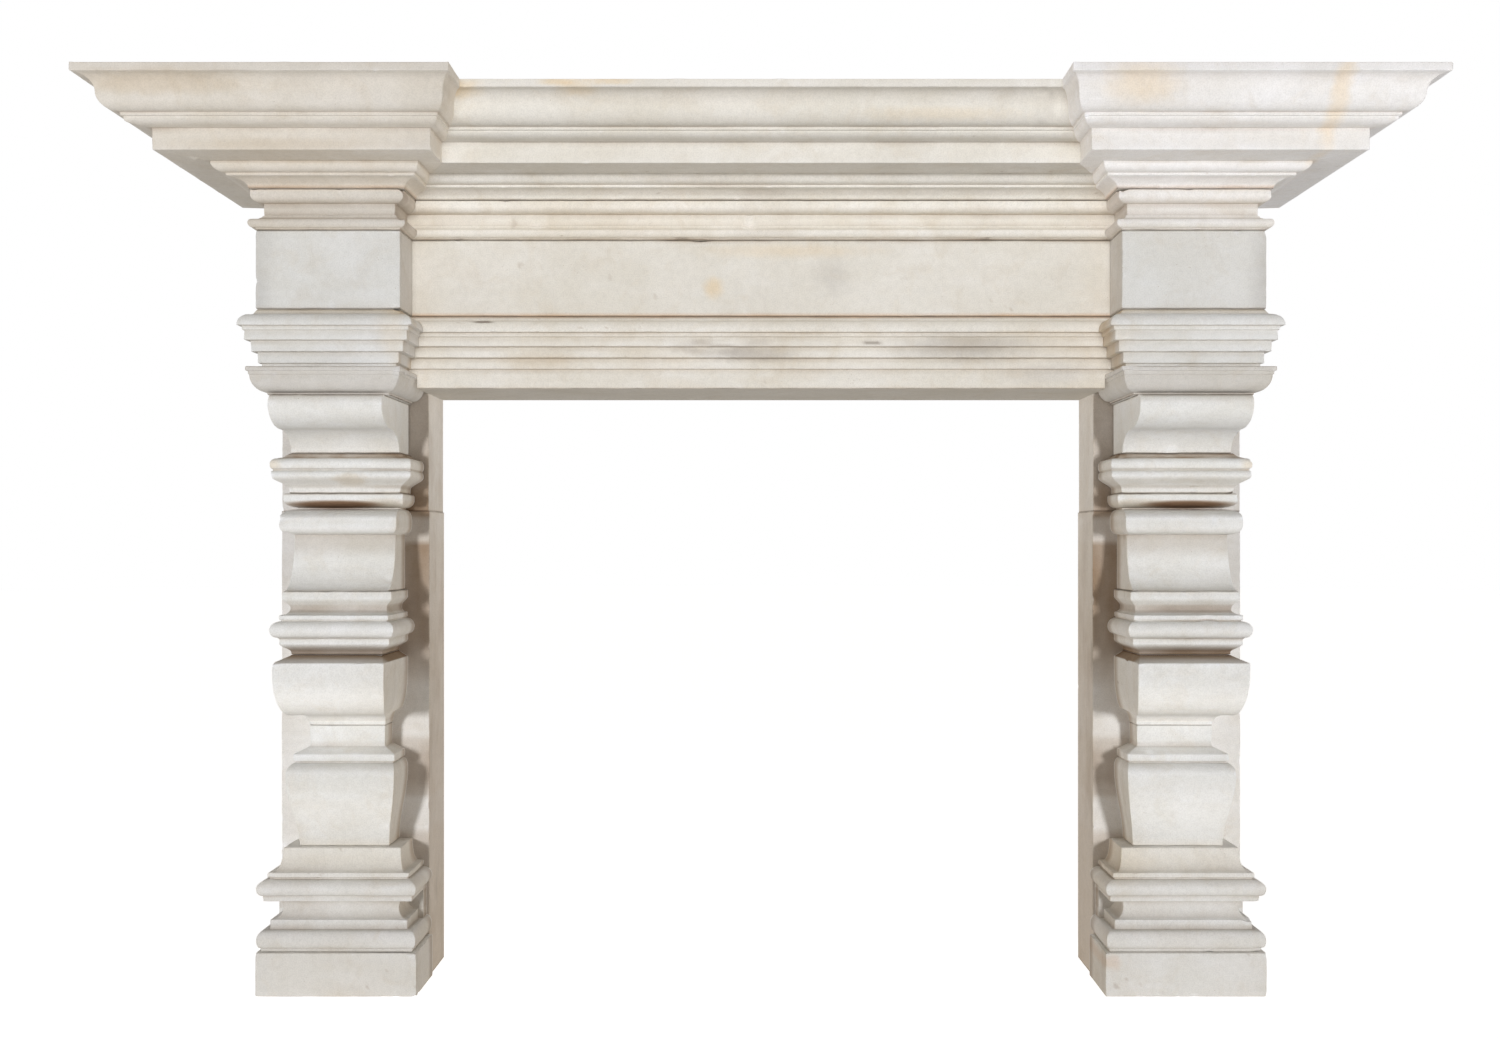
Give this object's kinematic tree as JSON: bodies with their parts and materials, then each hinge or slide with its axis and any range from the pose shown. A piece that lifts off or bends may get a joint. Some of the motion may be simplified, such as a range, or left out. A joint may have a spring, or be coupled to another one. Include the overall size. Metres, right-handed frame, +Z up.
{
  "type": "fireplace surround",
  "caption": "Carved limestone fireplace surround with stacked moulded jambs, a plain frieze and a deep cornice that breaks forward over each jamb.",
  "frame": {"origin": "on the floor, at the middle of the whole surround's footprint", "axes": "+X along the width to the viewer's right, +Y back towards the wall, +Z up"},
  "size_m": [2.395, 0.6, 1.703],
  "materials": {
    "jamb_stone": "fine-rubbed pale grey limestone with faint beige stains",
    "slab_stone": "plain sawn limestone, dusty and a little browner",
    "entablature_stone": "fine-rubbed limestone, pinkish grey with ochre stains",
    "lintel_stone": "fine-rubbed cream limestone with soot and ochre marks"
  },
  "bodies": {
    "root": {"left_plinth": "jamb_stone", "left_base": "jamb_stone", "left_lower_vase": "jamb_stone", "left_upper_vase": "jamb_stone", "left_roll_stone": "jamb_stone", "left_bell_stone": "jamb_stone", "left_neck_stone": "jamb_stone", "left_console_stone": "jamb_stone", "left_capital": "jamb_stone", "left_slab_lower": "slab_stone", "left_slab_upper": "slab_stone", "left_architrave": "entablature_stone", "left_frieze": "entablature_stone", "left_bed_mould": "entablature_stone", "left_cornice": "entablature_stone", "right_plinth": "jamb_stone", "right_base": "jamb_stone", "right_lower_vase": "jamb_stone", "right_upper_vase": "jamb_stone", "right_roll_stone": "jamb_stone", "right_bell_stone": "jamb_stone", "right_neck_stone": "jamb_stone", "right_console_stone": "jamb_stone", "right_capital": "jamb_stone", "right_slab_lower": "slab_stone", "right_slab_upper": "slab_stone", "right_architrave": "entablature_stone", "right_frieze": "entablature_stone", "right_bed_mould": "entablature_stone", "right_cornice": "entablature_stone", "lintel_architrave": "lintel_stone", "lintel_frieze": "lintel_stone", "lintel_bed_mould": "lintel_stone", "lintel_cornice": "lintel_stone"}
  },
  "joints": []
}
